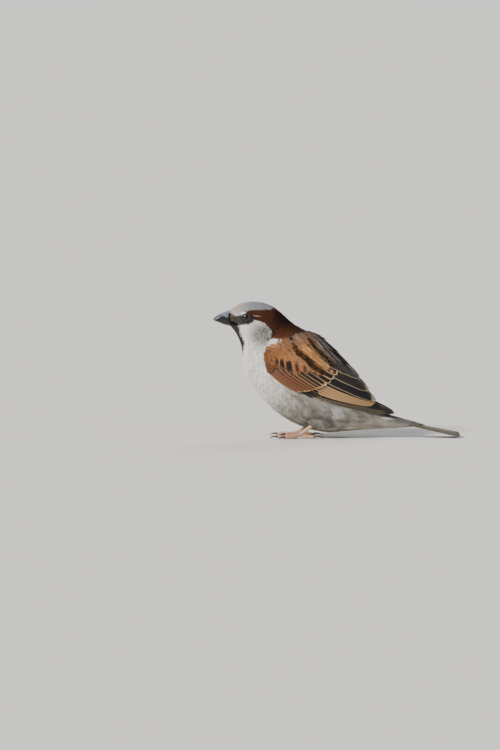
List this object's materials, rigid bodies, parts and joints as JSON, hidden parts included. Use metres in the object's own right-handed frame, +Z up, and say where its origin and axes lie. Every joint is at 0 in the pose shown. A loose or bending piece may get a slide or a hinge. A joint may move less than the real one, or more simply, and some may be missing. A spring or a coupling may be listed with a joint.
{
  "type": "house sparrow",
  "caption": "Life-size still model of a perched male house sparrow, wings folded and tail laid level with its feet.",
  "frame": {"origin": "on the ground, under the middle of the bird's length and on its mid-line", "axes": "+X from bill to tail, so the bird faces -X; +Y to the bird's right; +Z up"},
  "size_m": [0.1394, 0.0436, 0.0764],
  "materials": {
    "head": "feathers, grey crown and chestnut sides",
    "neck": "feathers, chestnut nape and pale sides",
    "body": "feathers, off-white breast to grey belly",
    "rump": "feathers, grey-brown rump and pale undertail",
    "wing_coverts": "feathers, chestnut with black centres",
    "flight_feathers": "feathers, dark brown with buff edges",
    "tail": "feathers, dark brown with pale edges",
    "bill": "horn, steel grey to black",
    "eye": "wet, dark brown",
    "thigh": "feathers, grey-buff",
    "leg_skin": "scaled skin, pinkish brown",
    "claw": "horn, dark"
  },
  "bodies": {
    "root": {"head": "head", "neck": "neck", "trunk": "body", "rump": "rump", "tail": "tail", "bill_upper": "bill", "bill_lower": "bill", "eye_left": "eye", "wing_left_coverts": "wing_coverts", "wing_left_secondaries": "flight_feathers", "wing_left_primaries": "flight_feathers", "thigh_left": "thigh", "tarsus_left": "leg_skin", "foot_left": "leg_skin", "claw_left_middle": "claw", "claw_left_inner": "claw", "claw_left_outer": "claw", "claw_left_hind": "claw", "eye_right": "eye", "wing_right_coverts": "wing_coverts", "wing_right_secondaries": "flight_feathers", "wing_right_primaries": "flight_feathers", "thigh_right": "thigh", "tarsus_right": "leg_skin", "foot_right": "leg_skin", "claw_right_middle": "claw", "claw_right_inner": "claw", "claw_right_outer": "claw", "claw_right_hind": "claw"}
  },
  "joints": []
}
